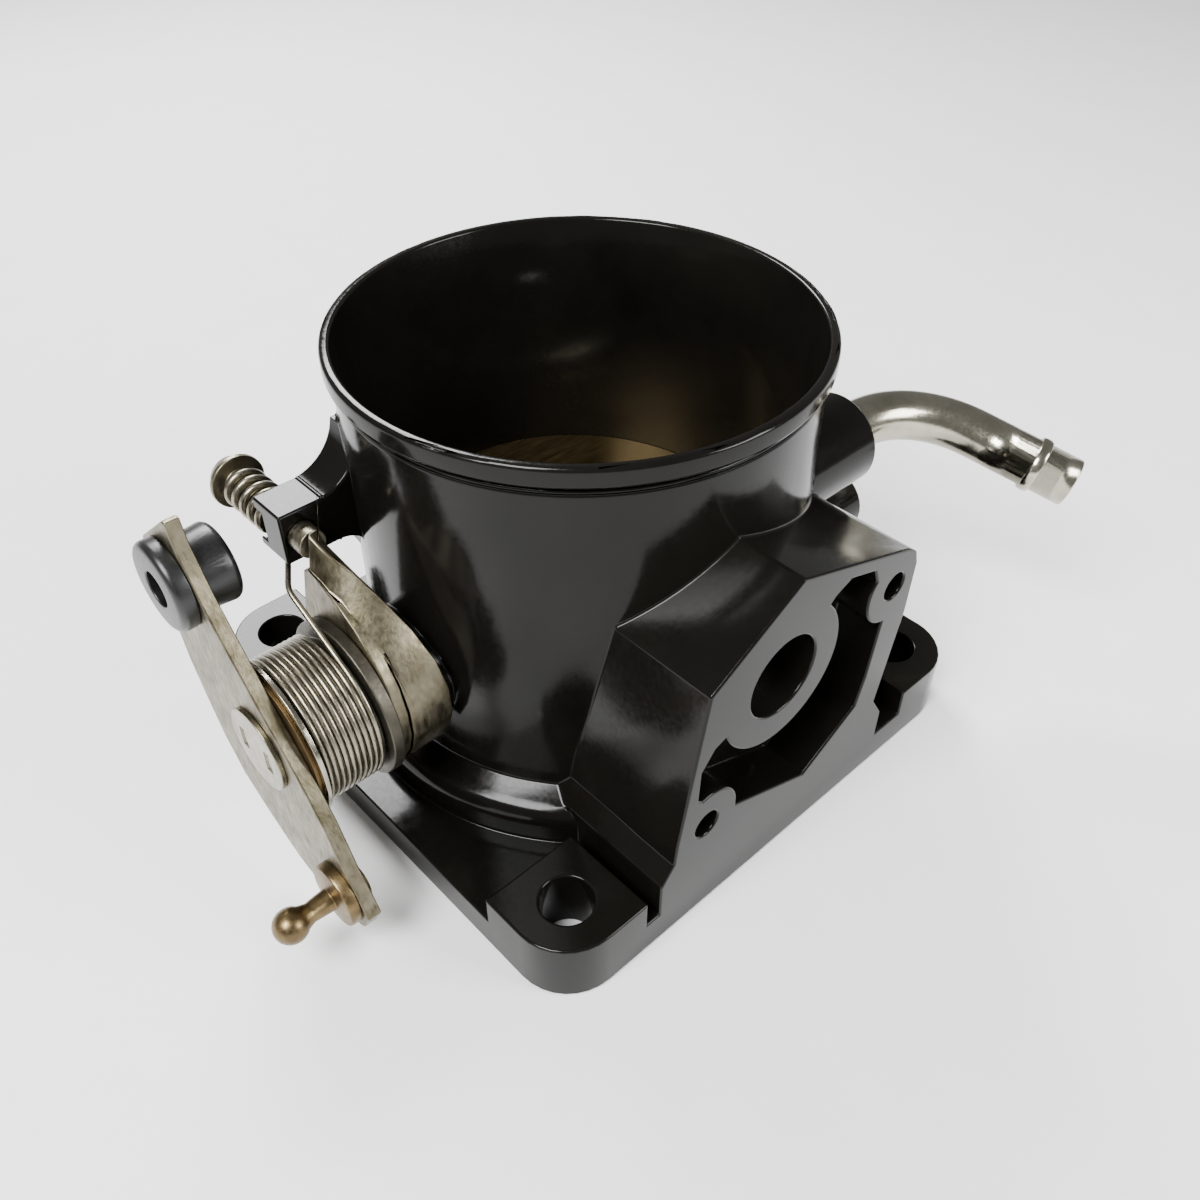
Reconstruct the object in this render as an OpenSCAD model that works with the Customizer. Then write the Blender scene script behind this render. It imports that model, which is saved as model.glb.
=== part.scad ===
// Throttle body: a bored housing on a square four-bolt flange, with a butterfly plate on a cross
// shaft, a lever with its return spring and stop screw, an idle-air pad and a hose tube.
// Origin: centre of the flange's bottom face, on the bore axis. +Z runs up the bore to the inlet,
// X runs along the throttle shaft with the lever on -X, and the idle-air pad faces -Y.

/* [Bore and barrel] */
// Diameter of the air bore
bore_d = 75; // [74:0.5:76]
// Wall thickness of the barrel
wall = 2.5; // [2:0.25:3.5]
// Height of the body from flange to inlet rim
body_h = 82.5; // [80:0.5:88]
// How far the inlet rim stands proud of the barrel
rim_lip = 1.25; // [0.5:0.25:2]
// Height of the inlet rim
rim_h = 4.2; // [3:0.1:5]
// Inside radius gained by the rounded air entry
entry_flare = 2.1; // [1:0.1:2.1]
// Depth of the rounded air entry
entry_h = 12; // [8:0.5:14]

/* [Flange] */
// Width of the square mounting flange
flange_w = 105.4; // [104:0.2:108]
// Thickness of the flange at its corner pads
pad_t = 12.7; // [12:0.1:14]
// Thickness of the flange between the pads
flange_t = 6.9; // [6:0.1:8]
// Width of each square corner pad
pad_w = 18.6; // [17:0.2:19]
// Corner radius of the flange
corner_r = 10; // [8:0.5:10]
// Spacing of the four mounting bolts
bolt_pitch = 86.2; // [85:0.1:87]
// Diameter of the mounting bolt holes
bolt_d = 9; // [8:0.1:9]

/* [Shaft and plate] */
// Height of the shaft axis above the flange's bottom face
shaft_z = 33.3; // [33:0.1:34]
// Diameter of the throttle shaft
shaft_d = 9.5; // [9:0.1:10]
// Angle of the closed throttle plate to the flange
closed_angle = 4; // [3:0.5:5]
// Thickness of the throttle plate
plate_t = 2; // [1.5:0.1:2.2]
// Gap between the plate's edge and the bore
plate_gap = 0.15; // [0.1:0.01:0.2]
// Spacing of the two screws that hold the plate
plate_screw_pitch = 40; // [36:1:44]

/* [Lever side] */
// X of the lever's outer face
lever_x = -68.5; // [-69:0.1:-68]
// Thickness of the throttle lever
lever_t = 2.5; // [2:0.1:2.6]
// Outside radius of the return spring
spring_r = 13; // [12.5:0.1:13.2]
// Wire diameter of the return spring
spring_wire = 1; // [0.9:0.05:1.1]
// X of the stop lever's outer face
stop_x = -51; // [-51.2:0.1:-50.8]
// Thickness of the stop lever
stop_t = 2.2; // [2:0.1:2.4]

/* [Stop screw] */
// Width of the square-ended stop arm
arm_w = 8; // [7.5:0.1:8.5]
// Height of the stop arm
arm_h = 9.3; // [9:0.1:10]
// Thread diameter of the stop screw
screw_d = 4.9; // [4.8:0.02:4.94]
// Length of the compressed locking spring
lock_spring_l = 13.6; // [13:0.1:14]

/* [Idle-air pad] */
// Radius of the idle-air port
port_r = 7.4; // [7:0.1:8]
// Radius of the wall left round the port
port_wall_r = 13.3; // [13:0.1:13.6]
// Depth of the crescent chamber
chamber_depth = 9; // [8:0.5:10]
// Radius of the tapped screw holes
idle_hole_r = 2.5; // [2.4:0.05:2.6]

/* [Hose tube] */
// Outside diameter of the hose tube
tube_d = 9.4; // [9:0.1:9.6]
// Wall thickness of the hose tube
tube_wall = 1; // [0.8:0.1:1.2]
// Radius of the tube's bend
tube_bend_r = 22; // [21:0.5:23]
// Angle of the tube's bend
tube_bend = 70.5; // [68:0.5:74]
// Straight length after the bend
tube_end_l = 20; // [19:0.5:22]

/* [Hidden] */
$fn = 96;
eps = 0.01;
fit = 0.04;

// Barrel and flange
bore_r = bore_d / 2;
barrel_r = bore_r + wall;
half_w = flange_w / 2;
groove_h = 1.2;
groove_depth = 0.5;
foot_r = 45.5;
foot_h = 14.5;
foot_round = 4;

// Shaft bosses
boss_r = 10.5;
boss_face = -46.6;
bush_r = 7;
bush_l = 7;
seal_l = 1.8;
sensor_face = 50;
sensor_ear_y = 19.8;
sensor_ear_r = 6.8;
sensor_hole_r = 2;
sensor_hole_depth = 12;
sensor_recess_r = 8.5;
sensor_recess_x = 45.2;

// Lever stack, outward from the housing's boss
thrust_t = 1.9;
guide_flange_t = 2.2;
guide_flange_r = 14.2;
guide_r = 11.4;
washer_t = 0.8;
hub_washer_t = 0.6;
lever_in = lever_x + lever_t;
spring_washer_x = lever_in + hub_washer_t;
guide_x = spring_washer_x + washer_t;
head_r = 7.4;
head_t = 0.9;
journal_r = shaft_d / 2;
end_r = 4.2;

// Stop arm and screw
arm_end = -52;
arm_y = 12;
arm_top = 63;
arm_bottom = arm_top - arm_h;
screw_x = -48.7;
screw_z = 58.2;
screw_tip_y = 8.6;
pocket_r = 4.2;
pocket_depth = 2.2;
lock_spring_r = 3.8;
lock_wire = 1.35;
lock_turns = 5;
screw_head_r = 4.8;
screw_head_t = 3.2;
spring_back = arm_y + arm_w - pocket_depth;
head_y = spring_back + lock_spring_l;

// Idle-air pad
pad_face = -half_w;
port = [-6.2, 45];
idle_holes = [[21.4, 47], [-21.4, 22.1]];
idle_boss_r = 7.1;
idle_hole_depth = 14;
pad_outline = [[-31.4, 3], [26.8, 3], [26.8, 13], [23.6, 18], [27, 38], [27.3, 49], [26.4, 51.8],
               [23.9, 53.6], [-4.4, 63.7], [-23.2, 52.5], [-28.2, 22], [-28.6, 18], [-31.4, 14.2]];
chamber_outline = [[8, 56.4], [14.4, 54.2], [19.9, 41], [18.4, 28], [16.9, 21.6], [4, 13.6],
                   [-15, 21.5], [-23.8, 30], [-23.6, 36.5], [-21, 39.8], [-6, 45], [4.6, 55]];

// Hose tube
tube_y = -23.2;
tube_z = 52.6;
tube_boss_r = 8.8;
tube_boss_x = 42.5;
tube_seat = 8;
tube_straight_x = 47.2;
tube_tilt = 16.3;
bead_h = 0.7;
bead_w = 2.2;
bead_from_end = 7.6;

// A cylinder along X between two places
module along_x(x0, x1, r, y = 0, z = shaft_z) {
    translate([x0, y, z]) rotate([0, 90, 0]) cylinder(h = x1 - x0, r = r);
}

// A washer or tube along X
module ring_x(x0, x1, r_out, r_in, y = 0, z = shaft_z) {
    difference() {
        along_x(x0, x1, r_out, y, z);
        along_x(x0 - 1, x1 + 1, r_in, y, z);
    }
}

// A cylinder along Y between two places
module along_y(y0, y1, r, x, z) {
    translate([x, y0, z]) rotate([-90, 0, 0]) cylinder(h = y1 - y0, r = r);
}

// An outline drawn in Y and Z, extruded along X
module plate_x(x0, t) {
    translate([x0, 0, 0]) rotate([90, 0, 90]) linear_extrude(t) children();
}

// An outline drawn in X and Z, extruded along Y
module plate_y(y0, y1) {
    translate([0, y1, 0]) rotate([90, 0, 0]) linear_extrude(y1 - y0) children();
}

// Points along an arc
function arc(c, r, a0, a1, n) = [for (i = [0:n]) c + r * [cos(a0 + (a1 - a0) * i / n),
                                                          sin(a0 + (a1 - a0) * i / n)]];

// Outline of a square with rounded corners
function rounded_square(h, r) = [for (q = [0:3]) each arc((h - r) * [cos(90 * q + 45), sin(90 * q + 45)]
                                 * sqrt(2), r, 90 * q, 90 * q + 90, 8)];

// Outline of a bar with round ends, lying along its first axis
function round_bar(half_l, r) = concat(arc([half_l, 0], r, -90, 90, 16), arc([-half_l, 0], r, 90, 270, 16));

module flange() {
    linear_extrude(flange_t) polygon(rounded_square(half_w, corner_r));
    intersection() {
        linear_extrude(pad_t) polygon(rounded_square(half_w, corner_r));
        for (sx = [-1, 1], sy = [-1, 1])
            translate([sx * (half_w - pad_w / 2), sy * (half_w - pad_w / 2), pad_t / 2])
                cube([pad_w + 2 * eps, pad_w + 2 * eps, pad_t + 2], center = true);
    }
}

// Barrel with its rounded foot, the groove under the rim and the rim
module barrel() {
    inner = bore_r - 1;
    top = body_h;
    rotate_extrude() polygon(concat(
        [[inner, 0], [foot_r, 0]],
        arc([foot_r - foot_round, foot_h - foot_round], foot_round, 0, 70, 6),
        [[barrel_r, foot_h + 1.5], [barrel_r, top - rim_h - groove_h]],
        [[barrel_r - groove_depth, top - rim_h - groove_h + 0.4], [barrel_r - groove_depth, top - rim_h]],
        [[barrel_r + rim_lip, top - rim_h + 0.8]],
        arc([barrel_r + rim_lip - 0.8, top - 0.8], 0.8, 0, 90, 4),
        [[inner, top]]));
}

// Air bore with the rounded entry at its inlet end
module air_bore() {
    rotate_extrude() polygon(concat(
        [[0, -1], [bore_r, -1], [bore_r, body_h - entry_h]],
        [for (i = [1:8]) [bore_r + entry_flare * (1 - cos(60 * i / 8)) * 2, body_h - entry_h + entry_h * i / 8]],
        [[bore_r + entry_flare, body_h + 1], [0, body_h + 1]]));
}

// Arm that holds the stop screw, with a fillet above and below where it meets the barrel
module stop_arm() {
    root = -34;
    top_fillet = 9;
    low_fillet = 6;
    translate([arm_end, arm_y, arm_bottom]) cube([root - arm_end, arm_w, arm_h]);
    difference() {
        translate([-44, arm_y, arm_top - 1]) cube([root + 44, arm_w, top_fillet]);
        along_y(arm_y - 1, arm_y + arm_w + 1, top_fillet, -44 - 1.2, arm_top + top_fillet);
    }
    difference() {
        translate([-42, arm_y, arm_bottom - low_fillet]) cube([root + 42, arm_w, low_fillet + 1]);
        along_y(arm_y - 1, arm_y + arm_w + 1, low_fillet, -42.5, arm_bottom - low_fillet);
    }
}

module housing() {
    color("#1b1a18") difference() {
        union() {
            flange();
            barrel();
            along_x(boss_face, -30, boss_r);
            plate_x(30, sensor_face - 30) translate([0, shaft_z]) polygon(round_bar(sensor_ear_y, sensor_ear_r));
            along_x(30, sensor_face, boss_r);
            along_x(22, tube_boss_x, tube_boss_r, tube_y, tube_z);
            stop_arm();
            plate_y(pad_face, -24) polygon(pad_outline);
        }
        air_bore();
        for (sx = [-1, 1], sy = [-1, 1])
            translate([sx * bolt_pitch / 2, sy * bolt_pitch / 2, -1]) cylinder(h = pad_t + 2, r = bolt_d / 2);
        along_x(-50, 0, journal_r + fit);
        along_x(0, sensor_recess_x, journal_r + fit);
        along_x(boss_face - 1, boss_face + bush_l + seal_l, bush_r);
        along_x(sensor_recess_x - bush_l, sensor_recess_x + 1, bush_r);
        along_x(sensor_recess_x, sensor_face + 1, sensor_recess_r);
        for (sy = [-1, 1])
            along_x(sensor_face - sensor_hole_depth, sensor_face + 1, sensor_hole_r, sy * sensor_ear_y);
        along_x(20, tube_boss_x, tube_d / 2 - tube_wall, tube_y, tube_z);
        along_x(tube_boss_x - tube_seat, tube_boss_x + 1, tube_d / 2 + 0.01, tube_y, tube_z);
        along_y(arm_y - 1, arm_y + arm_w + 1, screw_d / 2 + 0.05, screw_x, screw_z);
        along_y(spring_back, arm_y + arm_w + 1, pocket_r, screw_x, screw_z);
        along_y(pad_face - 1, -20, port_r, port[0], port[1]);
        for (h = idle_holes)
            along_y(pad_face - 1, pad_face + idle_hole_depth, idle_hole_r, h[0], h[1]);
        plate_y(pad_face - 1, pad_face + chamber_depth) difference() {
            polygon(chamber_outline);
            translate(port) circle(r = port_wall_r);
            for (h = idle_holes)
                translate(h) circle(r = idle_boss_r);
        }
        along_y(pad_face + 1, -20, 4, 2, 21);
    }
}

// Oil-filled bronze bush pressed into the boss on the lever side
module lever_bush() {
    color("#a98247") ring_x(boss_face, boss_face + bush_l, bush_r, journal_r + fit);
}

module sensor_bush() {
    color("#a98247") ring_x(sensor_recess_x - bush_l, sensor_recess_x, bush_r, journal_r + fit);
}

module lever_seal() {
    color("#262626") ring_x(boss_face + bush_l, boss_face + bush_l + seal_l - eps, bush_r, journal_r + fit);
}

module sensor_seal() {
    color("#262626") ring_x(sensor_recess_x + eps, sensor_recess_x + 1.2, sensor_recess_r, journal_r + fit);
}

// Cross shaft: slotted for the plate, stepped down and headed over at the lever end
module throttle_shaft() {
    slot_l = 2 * (bore_r + 0.4);
    color("#8f8b80") difference() {
        union() {
            along_x(-48.6, 47.9, journal_r);
            along_x(lever_x, -48.6, end_r);
            along_x(lever_x - head_t, lever_x, head_r);
            along_x(47.9, 50.8, end_r);
        }
        translate([0, 0, shaft_z]) rotate([closed_angle, 0, 0])
            cube([slot_l, shaft_d + 2, plate_t + 0.02], center = true);
        translate([0, 0, shaft_z]) rotate([closed_angle, 0, 0]) for (sx = [-1, 1]) {
            translate([sx * plate_screw_pitch / 2, 0, -6]) cylinder(h = 12, r = 2.03);
            translate([sx * plate_screw_pitch / 2, 0, 3.4]) cylinder(h = 6, r = 3.6);
        }
        ring_x(48.9, 49.8, end_r + 1, end_r - 0.9);
        for (sy = [-1, 1])
            translate([lever_x - head_t - 1, sy * 3.6 - 0.8, shaft_z - 2]) cube([1.2, 1.6, 4]);
    }
}

// Round butterfly plate, its edge cut parallel to the bore in the closed position
module throttle_plate() {
    color("#9a8557") difference() {
        intersection() {
            translate([0, 0, shaft_z]) rotate([closed_angle, 0, 0])
                cylinder(h = plate_t, r = bore_r + 3, center = true);
            cylinder(h = 60, r = bore_r - plate_gap);
        }
        translate([0, 0, shaft_z]) rotate([closed_angle, 0, 0]) for (sx = [-1, 1])
            translate([sx * plate_screw_pitch / 2, 0, -6]) cylinder(h = 12, r = 2.03);
    }
}

// Two screws through the shaft and the plate
module plate_screws() {
    color("#8b8673") translate([0, 0, shaft_z]) rotate([closed_angle, 0, 0]) for (sx = [-1, 1])
        translate([sx * plate_screw_pitch / 2, 0, 0]) difference() {
            union() {
                translate([0, 0, -5.2]) cylinder(h = 8.6, r = 2);
                translate([0, 0, 3.4]) cylinder(h = 2, r = 3.5);
            }
            translate([-4, -0.5, 4.5]) cube([8, 1, 2]);
        }
}

module thrust_washer() {
    color("#b7b3a8") ring_x(stop_x + stop_t, boss_face - 0.3, 9.4, journal_r + fit + 0.1);
}

// Stop lever: a plate on the shaft, with one edge bent towards the barrel. The bend follows the
// spring's curve, and at the top it opens out into a finger whose edge rests on the stop screw.
// Both edges of the bent flange are given at a few stations, from the finger down.
bend_line = [[7.6, 54.4], [4.6, 53.4], [0.6, 51.6], [-3.6, 49], [-7.4, 45.6], [-10.3, 41.4],
             [-11.9, 36.6], [-12, 31.6], [-10.9, 27.8], [-9, 24.4]];
free_line = [[stop_x + 2.2, 8, 61.4], [-48.2, 5.4, 59], [-46.4, 1.6, 55.6], [-44.6, -2.6, 51.4],
             [-42.8, -6.8, 46.8], [-41.5, -10.2, 42], [-40.8, -11.9, 36.8], [-40.7, -12, 31.6],
             [-40.9, -10.9, 27.8], [-41.2, -9, 24.4]];
bend_in = 2;
flange_half = stop_t / 2 - 0.07;

function along(line, i) = let (d = line[min(i + 1, len(line) - 1)] - line[max(i - 1, 0)]) d / norm(d);
function flange_section(i) = let (
    t = along(bend_line, i),
    corner = [stop_x + stop_t / 2, bend_line[i][0], bend_line[i][1]],
    start = corner + bend_in * [0, -t[1], t[0]],
    run = free_line[i] - corner,
    finish = corner + bend_in * run / norm(run))
    concat([for (k = [0:2]) let (u = k / 2) (1 - u) * (1 - u) * start + 2 * u * (1 - u) * corner + u * u * finish],
           [free_line[i]]);
flange_mid = [for (i = [0:len(bend_line) - 1]) flange_section(i)];
function flange_normal(i, k) = let (
    m = len(flange_mid[i]) - 1,
    across = flange_mid[i][min(k + 1, m)] - flange_mid[i][max(k - 1, 0)],
    down = flange_mid[min(i + 1, len(flange_mid) - 1)][k] - flange_mid[max(i - 1, 0)][k],
    n = cross(across, down))
    n / norm(n);

module stop_flange() {
    n = len(flange_mid);
    m = len(flange_mid[0]);
    ring = 2 * m;
    points = [for (i = [0:n - 1]) each concat(
        [for (k = [0:m - 1]) flange_mid[i][k] + flange_half * flange_normal(i, k)],
        [for (k = [m - 1:-1:0]) flange_mid[i][k] - flange_half * flange_normal(i, k)])];
    sides = [for (i = [0:n - 2], k = [0:ring - 1]) let (a = ring * i + k, b = ring * i + (k + 1) % ring)
             each [[b, a, b + ring], [b + ring, a, a + ring]]];
    caps = [for (k = [0:m - 2]) each [[k, k + 1, ring - 1 - k], [ring - 1 - k, k + 1, ring - 2 - k]]];
    far = [for (c = caps) [for (k = [2:-1:0]) c[k] + ring * (n - 1)]];
    polyhedron(points, concat(sides, caps, far));
}

module stop_lever() {
    color("#8b8673") difference() {
        union() {
            plate_x(stop_x, stop_t) polygon(concat(
                [for (i = [0:len(bend_line) - 1]) let (t = along(bend_line, i)) bend_line[i] - 0.9 * [-t[1], t[0]]],
                [[-6, 20.5], [0, 19.3], [6, 20.6], [10.6, 24.6], [13.4, 30], [14.3, 35], [9.3, 54]]));
            stop_flange();
        }
        along_x(-60, -40, end_r + 0.01);
    }
}

// Flanged sleeve that the return spring is wound over
module spring_guide() {
    color("#5f5c54") difference() {
        union() {
            along_x(guide_x, stop_x, guide_r);
            along_x(stop_x - guide_flange_t, stop_x, guide_flange_r);
        }
        along_x(guide_x - 1, stop_x + 1, end_r + fit);
    }
}

// Close-wound torsion spring: its free leg bears up under the stop arm
module return_spring() {
    x_in = stop_x - guide_flange_t - 0.05;
    turns = 11;
    pitch = (x_in - guide_x - 0.05) / turns;
    r_mid = spring_r - spring_wire / 2;
    leg_x = x_in - 1.5 * pitch;
    leg_a = 117;
    leg_r = r_mid - 0.3;
    leg_0 = [leg_x, leg_r * cos(leg_a), shaft_z + leg_r * sin(leg_a)];
    leg_1 = leg_0 + 16.5 * [0, sin(leg_a), -cos(leg_a)];
    leg_2 = [arm_end + 1.6, arm_y + 3, arm_bottom - spring_wire / 2 - 0.1];
    ridge = [for (k = [0:turns - 1]) each [for (a = [0:45:180])
             [guide_x + 0.05 + pitch * (k + 0.5) - pitch / 2 * cos(a), r_mid + spring_wire / 2 * sin(a)]]];
    color("#8b8673") {
        translate([0, 0, shaft_z]) rotate([0, 90, 0]) rotate_extrude() polygon(concat(
            [[guide_r + 0.15, guide_x + 0.05]], [for (p = ridge) [p[1], p[0]]], [[guide_r + 0.15, x_in]]));
        wire(leg_0, leg_1);
        wire(leg_1, leg_2);
    }
}

// A straight length of spring wire with a round bend at its far end
module wire(a, b) {
    d = b - a;
    translate(a) rotate([0, acos(d[2] / norm(d)), atan2(d[1], d[0])]) cylinder(h = norm(d), r = spring_wire / 2);
    translate(b) sphere(r = spring_wire / 2 + 0.08);
}

module spring_washer() {
    color("#c9c5b8") ring_x(spring_washer_x, guide_x, 13.9, end_r + fit);
}

module hub_washer() {
    color("#8a6a3c") ring_x(lever_in, spring_washer_x, 12.6, end_r + fit);
}

lever_outline = [[12.6, 70.4], [11.6, 66], [7.8, 58.8], [2.6, 51.8], [-4.4, 43], [-10.8, 35.8],
                 [-16.2, 28.2], [-19.6, 21], [-24.8, 12.8], [-22.4, 8.2], [-16.5, 5.9], [-9, 5.6],
                 [-2, 7.6], [4.7, 11.4], [11.8, 16.6], [16, 23], [19, 31], [21.2, 38], [22.2, 45],
                 [24.9, 60.4], [24.2, 61.8], [13.6, 70.4]];
grommet_at = [15.9, 57.8];
stud_at = [-17.5, 13.3];

module throttle_lever() {
    color("#9b9684") difference() {
        plate_x(lever_x, lever_t) polygon(lever_outline);
        along_x(lever_x - 1, lever_in + 1, end_r + 0.01);
        along_x(lever_x - 1, lever_in + 1, 5.2, grommet_at[0], grommet_at[1]);
        along_x(lever_x - 1, lever_in + 1, 2.5, stud_at[0], stud_at[1]);
    }
}

// Moulded bush for the throttle cable's end pin: a disc outside the lever and a tapered body inside
module cable_grommet() {
    disc_t = 3;
    color("#1a1a1a") translate([0, grommet_at[0], grommet_at[1]]) rotate([0, 90, 0]) rotate_extrude()
        polygon(concat(
            [[3, lever_x - disc_t]],
            arc([6.4, lever_x - disc_t + 1.2], 1.2, -90, 0, 4),
            [[7.6, lever_x], [5.19, lever_x], [5.19, lever_in], [6.2, lever_in]],
            arc([5.4, -60.4 - 1.2], 1.2, 0, 90, 4),
            [[3, -60.4]]));
}

// Ball stud riveted through the lever's lower end
module ball_stud() {
    color("#7d6a4c") translate([0, stud_at[0], stud_at[1]]) rotate([0, 90, 0]) rotate_extrude()
        polygon(concat(
            [[0, -81]], [for (a = [15:15:140]) [3 * sin(a), -78 - 3 * cos(a)]],
            [[1.7, -74.6], [2, -70.9], [5.4, -70.4], [5.6, -70], [5.6, lever_x], [2.49, lever_x],
             [2.49, lever_in], [3.6, lever_in], [3.2, lever_in + 1], [0, lever_in + 1]]));
}

module stop_screw() {
    color("#8b8673") difference() {
        union() {
            along_y(screw_tip_y, head_y, screw_d / 2, screw_x, screw_z);
            along_y(head_y, head_y + 1, screw_head_r, screw_x, screw_z);
            translate([screw_x, head_y + 1, screw_z]) rotate([-90, 0, 0])
                cylinder(h = screw_head_t - 1, r1 = screw_head_r - 0.3, r2 = screw_head_r - 1.3);
        }
        translate([screw_x, head_y + screw_head_t, screw_z]) rotate([0, 20, 0])
            cube([1.1, 2.6, 12], center = true);
    }
}

// Compression spring that keeps the stop screw from turning
module lock_spring() {
    rise = lock_spring_l - 0.1;
    pitch = rise / lock_turns;
    inner = screw_d / 2 + 0.15;
    color("#8b8673") translate([screw_x, spring_back + 0.05, screw_z]) rotate([-90, 0, 0])
        rotate_extrude() polygon(concat([[inner, 0]],
            [for (k = [0:lock_turns - 1]) each [for (a = [0:45:180])
             [lock_spring_r - lock_wire / 2 + lock_wire / 2 * sin(a), pitch * (k + 0.5) - pitch / 2 * cos(a)]]],
            [[inner, rise]]));
}

// Hose tube: straight out of its boss, one bend, and a straight end with a bead rolled round it
module hose_tube() {
    r_out = tube_d / 2;
    r_in = r_out - tube_wall;
    bead_x = tube_end_l - bead_from_end - bead_w / 2;
    color("#b9b6a8") translate([tube_straight_x, tube_y, tube_z]) rotate([tube_tilt, 0, 0]) {
        ring_x(tube_boss_x - tube_seat - tube_straight_x, 0, r_out, r_in, 0, 0);
        translate([0, -tube_bend_r, 0]) {
            rotate([0, 0, 90 - tube_bend]) rotate_extrude(angle = tube_bend) translate([tube_bend_r, 0])
                difference() {
                    circle(r = r_out);
                    circle(r = r_in);
                }
            rotate([0, 0, -tube_bend]) translate([0, tube_bend_r, 0]) rotate([0, 90, 0]) rotate_extrude()
                polygon([[r_in, 0], [r_out, 0], [r_out, bead_x], [r_out + bead_h, bead_x + bead_w * 0.35],
                    [r_out + bead_h, bead_x + bead_w * 0.65], [r_out, bead_x + bead_w], [r_out, tube_end_l - 0.4],
                    [r_out - 0.3, tube_end_l], [r_in, tube_end_l]]);
        }
    }
}

// Spring clip in the shaft's groove
module shaft_clip() {
    color("#6f6b60") difference() {
        ring_x(48.95, 49.75, 6.2, end_r - 0.85);
        translate([48, -1.6, shaft_z - 8]) cube([3, 3.2, 8]);
    }
}

module clip_washer() {
    color("#b7b3a8") ring_x(47.95, 48.9, 7, end_r + fit);
}

housing();
lever_bush();
sensor_bush();
lever_seal();
sensor_seal();
throttle_shaft();
throttle_plate();
plate_screws();
thrust_washer();
stop_lever();
spring_guide();
return_spring();
spring_washer();
hub_washer();
throttle_lever();
cable_grommet();
ball_stud();
stop_screw();
lock_spring();
hose_tube();
shaft_clip();
clip_washer();
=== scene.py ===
import math

import bmesh
import bpy
import numpy as np
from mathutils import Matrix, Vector


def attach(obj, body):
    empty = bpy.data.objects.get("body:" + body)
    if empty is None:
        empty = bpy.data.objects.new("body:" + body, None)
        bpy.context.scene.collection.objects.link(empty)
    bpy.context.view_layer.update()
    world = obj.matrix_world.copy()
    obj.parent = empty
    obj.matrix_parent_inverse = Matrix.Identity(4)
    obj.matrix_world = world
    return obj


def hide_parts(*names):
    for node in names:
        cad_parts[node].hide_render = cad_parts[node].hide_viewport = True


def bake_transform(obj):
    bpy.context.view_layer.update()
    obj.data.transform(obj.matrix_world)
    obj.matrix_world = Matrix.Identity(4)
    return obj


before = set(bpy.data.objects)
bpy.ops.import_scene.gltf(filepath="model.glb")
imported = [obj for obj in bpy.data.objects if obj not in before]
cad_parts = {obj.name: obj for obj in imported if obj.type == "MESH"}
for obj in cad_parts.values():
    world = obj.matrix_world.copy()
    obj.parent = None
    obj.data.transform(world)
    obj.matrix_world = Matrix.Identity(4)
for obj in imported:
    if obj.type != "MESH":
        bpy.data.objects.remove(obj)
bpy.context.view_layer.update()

# Camera: stands off the lever side at the pad's corner and looks down into the bore.
# Its place, aim and lens come from a perspective fit to the part's square flange and round rim.
camera_at = Vector((-0.1098, -0.1225, 0.1689))
azimuth, down = math.radians(47.03), math.radians(41.61)
aim = Vector((math.cos(down) * math.cos(azimuth), math.cos(down) * math.sin(azimuth), -math.sin(down)))
camera = bpy.data.objects.new("camera", bpy.data.cameras.new("camera"))
bpy.context.collection.objects.link(camera)
camera.location = camera_at
camera.rotation_euler = aim.to_track_quat("-Z", "Y").to_euler()
camera.data.lens = 33.96
camera.data.sensor_width = 36
camera.data.clip_start = 0.001
bpy.context.scene.camera = camera


# Floor and light: a pale paper sweep under the part, a dim even sky and three soft square lamps.
# The key is high on the left, the second is behind and the third is low in front.
def linear(code):
    """Linear RGB of an sRGB hex code: c / 12.92 below 0.04045, else ((c + 0.055) / 1.055) ^ 2.4."""
    c = np.array([int(code[i : i + 2], 16) for i in (1, 3, 5)]) / 255
    return tuple(np.where(c < 0.04045, c / 12.92, ((c + 0.055) / 1.055) ** 2.4).tolist()) + (1.0,)


def add(tree, kind, inputs=(), **settings):
    """One shader node with its settings; inputs pairs a socket with a value or another node's output."""
    made = tree.nodes.new(kind)
    for key, value in settings.items():
        setattr(made, key, value)
    for socket, value in dict(inputs).items():
        if isinstance(value, bpy.types.NodeSocket):
            tree.links.new(value, made.inputs[socket])
        else:
            made.inputs[socket].default_value = value
    return made


def mesh_object(name, points, faces, smooth=True):
    """A mesh object at the origin from points in metres and faces as index lists."""
    mesh = bpy.data.meshes.new(name)
    mesh.from_pydata(np.asarray(points, float).tolist(), [], [list(f) for f in faces])
    mesh.polygons.foreach_set("use_smooth", [smooth] * len(mesh.polygons))
    mesh.update()
    made = bpy.data.objects.new(name, mesh)
    bpy.context.collection.objects.link(made)
    return made


floor_half, floor_z = 3.0, -0.0002
floor_corners = [(-1, -1), (1, -1), (1, 1), (-1, 1)]
floor = mesh_object(
    "floor", [(floor_half * x, floor_half * y, floor_z) for x, y in floor_corners], [(0, 1, 2, 3)], smooth=False
)
paper = bpy.data.materials.new("white paper sweep")
paper.use_nodes = True
paper_tree = paper.node_tree
paper_shader = paper_tree.nodes["Principled BSDF"]
paper_grain = add(paper_tree, "ShaderNodeTexNoise", {"Scale": 400.0})
paper_ends = {0: paper_grain.outputs["Fac"], 6: linear("#f4f4f4"), 7: linear("#fafafa")}
paper_colour = add(paper_tree, "ShaderNodeMix", paper_ends, data_type="RGBA")
paper_tree.links.new(paper_colour.outputs[2], paper_shader.inputs["Base Color"])
paper_shader.inputs["Roughness"].default_value = 0.9
floor.data.materials.append(paper)

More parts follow.
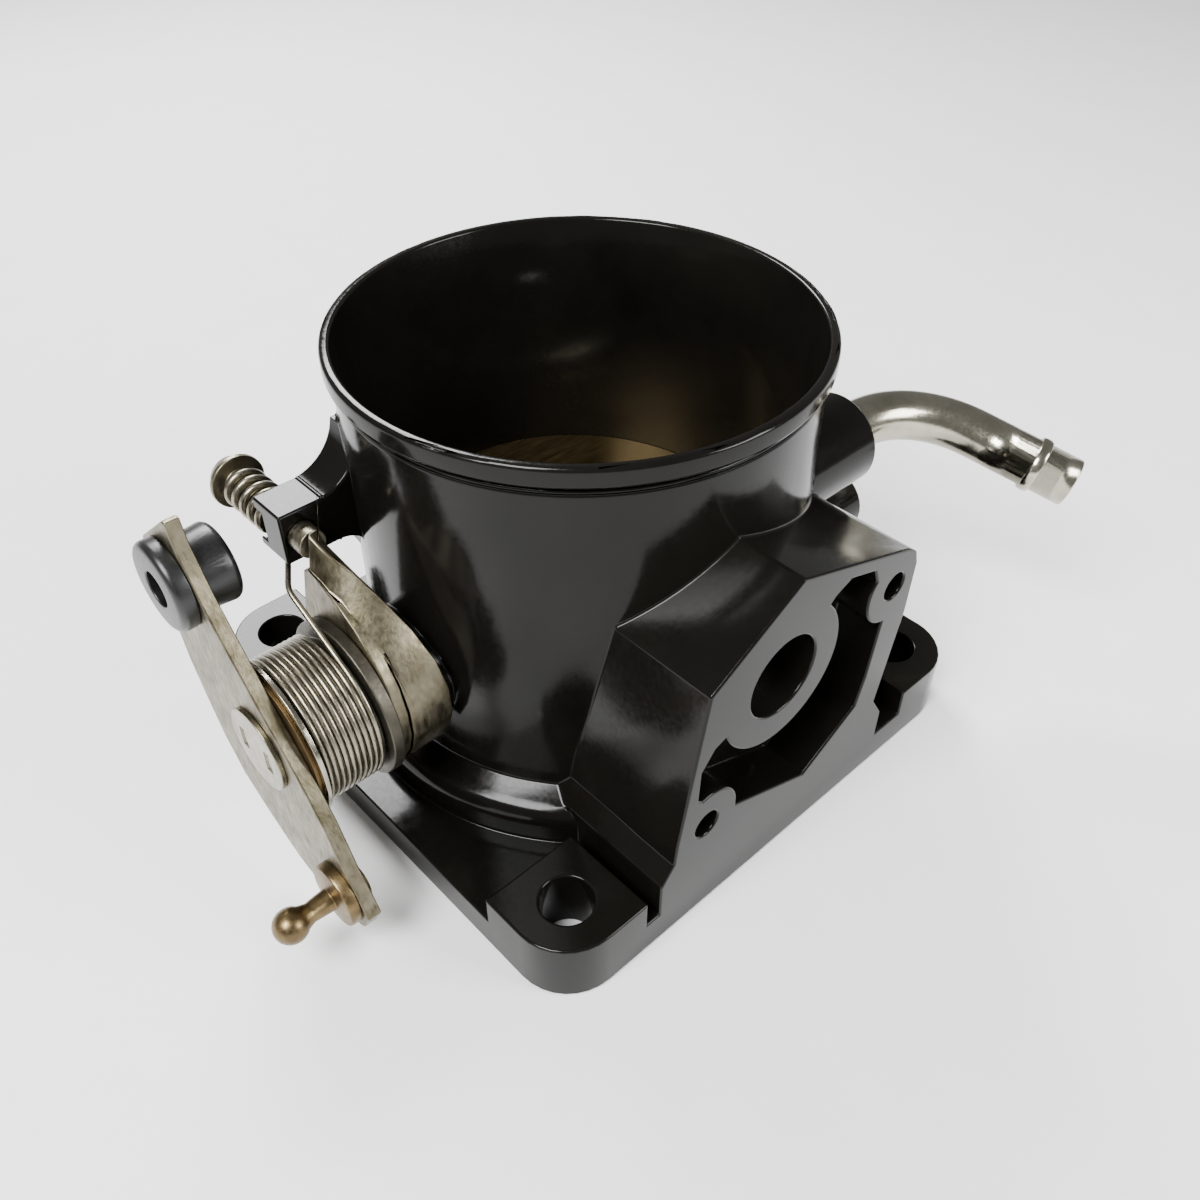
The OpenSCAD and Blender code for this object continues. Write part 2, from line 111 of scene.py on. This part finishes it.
world = bpy.data.worlds.new("studio")
world.use_nodes = True
world.node_tree.nodes["Background"].inputs["Color"].default_value = (1, 1, 1, 1)
world.node_tree.nodes["Background"].inputs["Strength"].default_value = 0.32
bpy.context.scene.world = world
lamp_target = Vector((0, 0, 0.03))
for name, place, watts, size in (
    ("key", (-0.45, -0.1, 0.6), 11.0, 0.3),
    ("strip", (0.15, 0.5, 0.5), 7.0, 0.25),
    ("fill", (0.25, -0.5, 0.3), 4.0, 0.25),
):
    lamp = bpy.data.objects.new(name, bpy.data.lights.new(name, "AREA"))
    lamp.data.energy = watts
    lamp.data.size = size
    lamp.location = place
    lamp.rotation_euler = (lamp_target - Vector(place)).to_track_quat("-Z", "Y").to_euler()
    bpy.context.collection.objects.link(lamp)


# Materials: each is named for its real finish. Patterns are sized in millimetres, so a
# texture's scale is 1000 over the size; object coordinates are metres at real size.
def finish(name, dark, pale, metallic, rough, mottle_mm, grain_mm, bump, stretch=(1, 1, 1), specular=0.5):
    """A surface whose colour drifts from dark to pale over mottle_mm, with roughness from rough[0]
    to rough[1] over grain_mm and a bump of that grain. stretch lengthens the grain along each axis."""
    made = bpy.data.materials.new(name)
    made.use_nodes = True
    tree = made.node_tree
    shader = tree.nodes["Principled BSDF"]
    place = add(tree, "ShaderNodeTexCoord").outputs["Object"]
    mottle = {"Vector": place, "Scale": 1000 / mottle_mm, "Detail": 5.0, "Roughness": 0.6}
    wide = add(tree, "ShaderNodeTexNoise", mottle).outputs["Fac"]
    laid = add(tree, "ShaderNodeMapping", {"Vector": place, "Scale": tuple(1 / s for s in stretch)})
    grain = {"Vector": laid.outputs["Vector"], "Scale": 1000 / grain_mm, "Detail": 4.0}
    fine = add(tree, "ShaderNodeTexNoise", grain).outputs["Fac"]
    spread = add(tree, "ShaderNodeMapRange", {"Value": wide, "From Min": 0.32, "From Max": 0.68})
    ends = {0: spread.outputs["Result"], 6: linear(dark), 7: linear(pale)}
    colour = add(tree, "ShaderNodeMix", ends, data_type="RGBA")
    gloss = {"Value": fine, "From Min": 0.3, "From Max": 0.7, "To Min": rough[0], "To Max": rough[1]}
    sheen = add(tree, "ShaderNodeMapRange", gloss)
    relief = add(tree, "ShaderNodeBump", {"Height": fine, "Strength": bump, "Distance": grain_mm / 4000})
    tree.links.new(colour.outputs[2], shader.inputs["Base Color"])
    tree.links.new(sheen.outputs["Result"], shader.inputs["Roughness"])
    tree.links.new(relief.outputs["Normal"], shader.inputs["Normal"])
    shader.inputs["Metallic"].default_value = metallic
    shader.inputs["Specular IOR Level"].default_value = specular
    return made


# Near-black dye sealed over machined metal: glossy, and weak in what it reflects
black_coat = finish(
    "black anodised aluminium", "#0a0908", "#12110e", 0.0, (0.1, 0.18), 30, 0.8, 0.03, specular=0.16
)
# Thin plating on small turned and stamped parts: grey with a slight drift
zinc_steel = finish("zinc-plated steel", "#6d6758", "#8d8776", 1.0, (0.3, 0.48), 4, 0.6, 0.25)
# Bare sheet as rolled and pressed: cloudy, with a grain along Z
pressed_steel = finish(
    "raw pressed steel", "#58523f", "#827b69", 1.0, (0.3, 0.5), 5, 0.7, 0.25, stretch=(1, 1, 4)
)
# Lathe marks run round the shaft, so the grain is short along X
shaft_steel = finish(
    "turned steel", "#77725f", "#979180", 1.0, (0.2, 0.34), 5, 0.35, 0.2, stretch=(0.4, 4, 4)
)
# Dull grey crystal coat; inside the hose tube it stands as painted shade down the bore
phosphate_and_bore_shade = finish("phosphated steel and painted bore shade", "#47443d", "#5e5a50", 1.0, (0.4, 0.55), 5, 0.6, 0.2)
# Wire drawn smooth, with a soft shine
wire_steel = finish("drawn spring steel", "#7a7566", "#9a9484", 1.0, (0.25, 0.38), 3, 0.3, 0.15)
# Sheet with long machining marks along X
blade_brass = finish(
    "machined brass sheet", "#86724c", "#a18b62", 1.0, (0.3, 0.42), 15, 0.5, 0.25, stretch=(12, 1, 1)
)
# Brown and dull, darkened by oil
bronze = finish("oiled bronze", "#56462f", "#6b573a", 1.0, (0.35, 0.5), 4, 0.5, 0.2)
# Smooth plating with clear reflections
bright_zinc = finish("bright nickel plate", "#8f8b7c", "#b2ad9e", 1.0, (0.14, 0.24), 9, 0.5, 0.08)
# Thin brown film over turned metal
brown_steel = finish("brown-passivated steel", "#5f513a", "#7f6d4d", 1.0, (0.3, 0.45), 3, 0.4, 0.2)
# Satin skin off a mould
black_nylon = finish("moulded black nylon", "#0a0a0a", "#111111", 0.0, (0.3, 0.4), 6, 0.3, 0.08)
# Matt and soft looking
seal_rubber = finish("moulded rubber", "#161616", "#202020", 0.0, (0.6, 0.75), 4, 0.3, 0.2)


def dress(obj, material):
    """Gives the object that one material."""
    obj.data.materials.clear()
    obj.data.materials.append(material)


def rounded(node, body, material, width_mm, angle=30):
    """A copy of the part node with its corners merged, its flat faces joined and its sharp edges
    rounded by width_mm; it takes the node's place and rides on its body."""
    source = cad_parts[node]
    mesh = source.data.copy()
    mesh.transform(source.matrix_world)
    work = bmesh.new()
    work.from_mesh(mesh)
    bmesh.ops.remove_doubles(work, verts=work.verts, dist=2e-6)
    bmesh.ops.dissolve_limit(work, angle_limit=math.radians(1), verts=work.verts, edges=work.edges)
    work.to_mesh(mesh)
    work.free()
    if mesh.attributes.get("custom_normal"):
        mesh.attributes.remove(mesh.attributes["custom_normal"])
    mesh.polygons.foreach_set("use_smooth", [True] * len(mesh.polygons))
    made = bpy.data.objects.new(node + "_rounded", mesh)
    bpy.context.collection.objects.link(made)
    dress(made, material)
    bevel = made.modifiers.new("edges", "BEVEL")
    bevel.width = width_mm / 1000
    bevel.segments = 2
    bevel.limit_method = "ANGLE"
    bevel.angle_limit = math.radians(angle)
    bevel.use_clamp_overlap = False
    bevel.harden_normals = True
    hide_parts(node)
    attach(made, body)
    return made


def sweep(name, path, radius, sides=12):
    """A round wire along path. Its ring i is path[i] + radius (cos u N + sin u B), where N is the last
    N less its part along the new tangent. Both ends are closed by a flat cap."""
    path = np.asarray(path, float)
    tangent = np.gradient(path, axis=0)
    tangent /= np.linalg.norm(tangent, axis=1)[:, None]
    normal = np.cross(tangent[0], [0.3, 0.5, 0.8])
    turn = np.linspace(0, 2 * np.pi, sides, endpoint=False)[:, None]
    rings = []
    for p, t in zip(path, tangent):
        normal = normal - (normal @ t) * t
        normal /= np.linalg.norm(normal)
        rings.append(p + radius * (np.cos(turn) * normal + np.sin(turn) * np.cross(t, normal)))
    last = (len(path) - 1) * sides
    faces = ring_faces(range(len(path) - 1), range(1, len(path)), sides)
    faces += [list(range(sides))[::-1], [last + j for j in range(sides)]]
    return mesh_object(name, np.concatenate(rings), faces)


def ring_faces(first, second, sides):
    """Quads between each ring in first and its partner in second: (a, j), (a, j+1), (b, j+1), (b, j)."""
    return [
        (a * sides + j, a * sides + (j + 1) % sides, b * sides + (j + 1) % sides, b * sides + j)
        for a, b in zip(first, second)
        for j in range(sides)
    ]


# Housing: one machined body of aluminium, black all over.
# Its sharp edges are broken by a small round.
rounded("housing", "root", black_coat, 0.45, angle=25)

# Bushes and seals: pressed into the shaft's bosses.
# Bronze carries the shaft and rubber closes the boss.
dress(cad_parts["lever_bush"], bronze)
dress(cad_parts["sensor_bush"], bronze)
dress(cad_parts["lever_seal"], seal_rubber)
dress(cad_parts["sensor_seal"], seal_rubber)

# Throttle shaft: turned steel rod, slotted for the plate, with its end headed over the lever.
# Held by that head at one end and the clip at the other.
rounded("throttle_shaft", "throttle", shaft_steel, 0.2, angle=40)

# Throttle plate: a round blade of brass sheet in the shaft's slot.
# Two screws hold it.
dress(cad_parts["throttle_plate"], blade_brass)
rounded("plate_screws", "throttle", zinc_steel, 0.2, angle=40)

# Thrust washer, clip washer and clip: hold the shaft along its length.
# Plated pressings and a spring clip.
dress(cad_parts["thrust_washer"], zinc_steel)
dress(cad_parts["clip_washer"], zinc_steel)
dress(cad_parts["shaft_clip"], phosphate_and_bore_shade)

# Stop lever: pressed from steel plate, one edge bent in towards the barrel.
# It turns with the shaft and its finger rests on the stop screw.
rounded("stop_lever", "throttle", pressed_steel, 0.35, angle=35)

# Spring guide: flanged sleeve on the shaft, inside the return spring.
# Dark phosphated steel.
rounded("spring_guide", "throttle", phosphate_and_bore_shade, 0.3, angle=40)

# Return spring: close-wound wire with one free leg that bears up under the stop arm.
# On the real part its end turns with the lever, so the coil winds when the throttle opens; here it is one fixed
# swept wire on no body.
shaft_z = 0.0333
coil_r, wire_r, coil_turns = 0.0125, 0.0005, 9.5
coil_start, coil_end, leg_angle = -0.06405, -0.0543, math.radians(117)
leg_length, leg_corner = 0.0165, 0.0015
s = np.linspace(0, 1, int(coil_turns * 40))
turned = leg_angle + 2 * np.pi * coil_turns * (1 - s)
coil = np.stack(
    [coil_start + (coil_end - coil_start) * s, coil_r * np.cos(turned), shaft_z + coil_r * np.sin(turned)], axis=1
)
leg_end = coil[-1] + leg_length * np.array([0, math.sin(leg_angle), -math.cos(leg_angle)])
under_arm = np.array([-0.0504, 0.015, 0.0531])
u = np.linspace(0, 1, 9)[1:, None]
near = leg_end + leg_corner * (coil[-1] - leg_end) / leg_length
far = leg_end + leg_corner * (under_arm - leg_end) / np.linalg.norm(under_arm - leg_end)
corner = (1 - u) ** 2 * near + 2 * u * (1 - u) * leg_end + u**2 * far
straight = coil[-1] + np.linspace(0, 1, 12)[1:, None] * (near - coil[-1])
hook = far + np.linspace(0, 1, 8)[1:, None] * (under_arm - far)
return_spring = sweep("return_spring_coil", np.concatenate([coil, straight, corner, hook]), wire_r)
dress(return_spring, wire_steel)
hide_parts("return_spring")
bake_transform(return_spring)

# Spring washer and hub washer: a bright washer outside the spring and a bronze one at the lever.
# Both are clamped between the guide and the lever.
rounded("spring_washer", "throttle", bright_zinc, 0.15, angle=40)
rounded("hub_washer", "throttle", bronze, 0.1, angle=40)

# Throttle lever: pressed steel plate riveted to the shaft's end.
# It carries the cable's bush at the top and the ball stud at the bottom.
rounded("throttle_lever", "throttle", pressed_steel, 0.3, angle=35)

# Cable bush: moulded black nylon snapped into the lever's upper hole.
# The cable's end pin goes through it.
rounded("cable_grommet", "throttle", black_nylon, 0.3, angle=50)

# Ball stud: turned steel with a collar, riveted through the lever's lower end.
# A second cable snaps onto the ball.
rounded("ball_stud", "throttle", brown_steel, 0.15, angle=50)

# Stop screw: slotted screw through the arm; its end meets the stop lever's finger.
# Its joint slides it along Y and does not turn it.
rounded("stop_screw", "adjuster", zinc_steel, 0.2, angle=40)

# Locking spring: five coils squeezed between the screw's head and the arm's pocket.
# On the real part it lengthens when the screw is backed out; here it is one fixed swept wire on no body.
lock_r, lock_wire_r, lock_turns = 0.003125, 0.00067, 5.0
lock_x, lock_z = -0.0487, 0.0582
lock_from, lock_to = 0.01785 + lock_wire_r, 0.03135 - lock_wire_r
s = np.linspace(0, 1, int(lock_turns * 36))
turned = 2 * np.pi * lock_turns * s
lock_path = np.stack(
    [lock_x + lock_r * np.cos(turned), lock_from + (lock_to - lock_from) * s, lock_z + lock_r * np.sin(turned)],
    axis=1,
)
lock_spring = sweep("lock_spring_coil", lock_path, lock_wire_r)
dress(lock_spring, wire_steel)
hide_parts("lock_spring")
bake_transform(lock_spring)

# Hose tube: plated steel tube pressed into its boss, bent once, with a bead for the hose.
# It is a pipe of changing radius along a line, an arc and a line, and its inside faces take the darker phosphated
# steel as painted shade down the bore.
bend_r, bend, tilt = 0.022, math.radians(70.5), math.radians(16.3)
bend_start = np.array([0.0472, -0.0232, 0.0526])


def tube_place(along):
    """Centre and unit tangent at a length along the tube: a line to 0, an arc of radius R through
    angle A, then a line. The plane of the bend is tilted about X."""
    a = min(max(along / bend_r, 0), bend)
    before, after = min(along, 0), max(along - bend_r * bend, 0)
    x = before + bend_r * math.sin(a) + after * math.cos(a)
    y = -bend_r * (1 - math.cos(a)) - after * math.sin(a)
    centre = np.array([x, y * math.cos(tilt), y * math.sin(tilt)])
    way = np.array([math.cos(a), -math.sin(a) * math.cos(tilt), -math.sin(a) * math.sin(tilt)])
    return bend_start + centre, way


tube_sides, tube_r, bore_in, seated = 40, 0.0047, 0.0037, -0.0125
arc_length, end_length = bend_r * bend, 0.020
tube_end = arc_length + end_length
bead_at, bead_half, bead_rise = tube_end - 0.0076, 0.0011, 0.00035
curved = np.linspace(-0.004, arc_length + 0.002, 44)
outside = [(seated, tube_r)] + [(x, tube_r) for x in curved]
for v in np.linspace(-math.pi, math.pi, 15):
    outside.append((bead_at + bead_half * math.sin(v), tube_r + bead_rise * (1 + math.cos(v))))
outside += [(tube_end - 0.0003, tube_r), (tube_end - 0.0001, tube_r - 0.0001), (tube_end, tube_r - 0.0003)]
inside = [(tube_end, bore_in + 0.0002), (tube_end - 0.0002, bore_in)]
inside += [(x, bore_in) for x in curved[::-1]] + [(seated, bore_in)]
stations = outside + inside
side = np.array([0, -math.sin(tilt), math.cos(tilt)])
ring = np.linspace(0, 2 * np.pi, tube_sides, endpoint=False)[:, None]
tube_points, count = [], len(stations)
for along, radius in stations:
    centre, way = tube_place(along)
    tube_points.append(centre + radius * (np.cos(ring) * side + np.sin(ring) * np.cross(way, side)))
tube_faces = ring_faces(range(count), [(i + 1) % count for i in range(count)], tube_sides)
hose_tube = mesh_object("hose_tube_bent", np.concatenate(tube_points), tube_faces)
dress(hose_tube, bright_zinc)
# Second material: the darker phosphated steel, painted shade on the bore's inside faces.
hose_tube.data.materials.append(phosphate_and_bore_shade)
first_inside = (len(outside) + 1) * tube_sides
painted_shade_index = [int(i >= first_inside) for i in range(len(tube_faces))]
hose_tube.data.polygons.foreach_set("material_index", painted_shade_index)
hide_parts("hose_tube")
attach(hose_tube, "root")

# Swept meshes: a closed mesh whose volume comes out negative is inside out.
# Its faces are turned round, so that they all point outwards.
for piece in ("hose_tube_bent", "return_spring_coil", "lock_spring_coil"):
    shape = bmesh.new()
    shape.from_mesh(bpy.data.objects[piece].data)
    if shape.calc_volume(signed=True) < 0:
        bmesh.ops.reverse_faces(shape, faces=shape.faces)
        shape.to_mesh(bpy.data.objects[piece].data)
    shape.free()
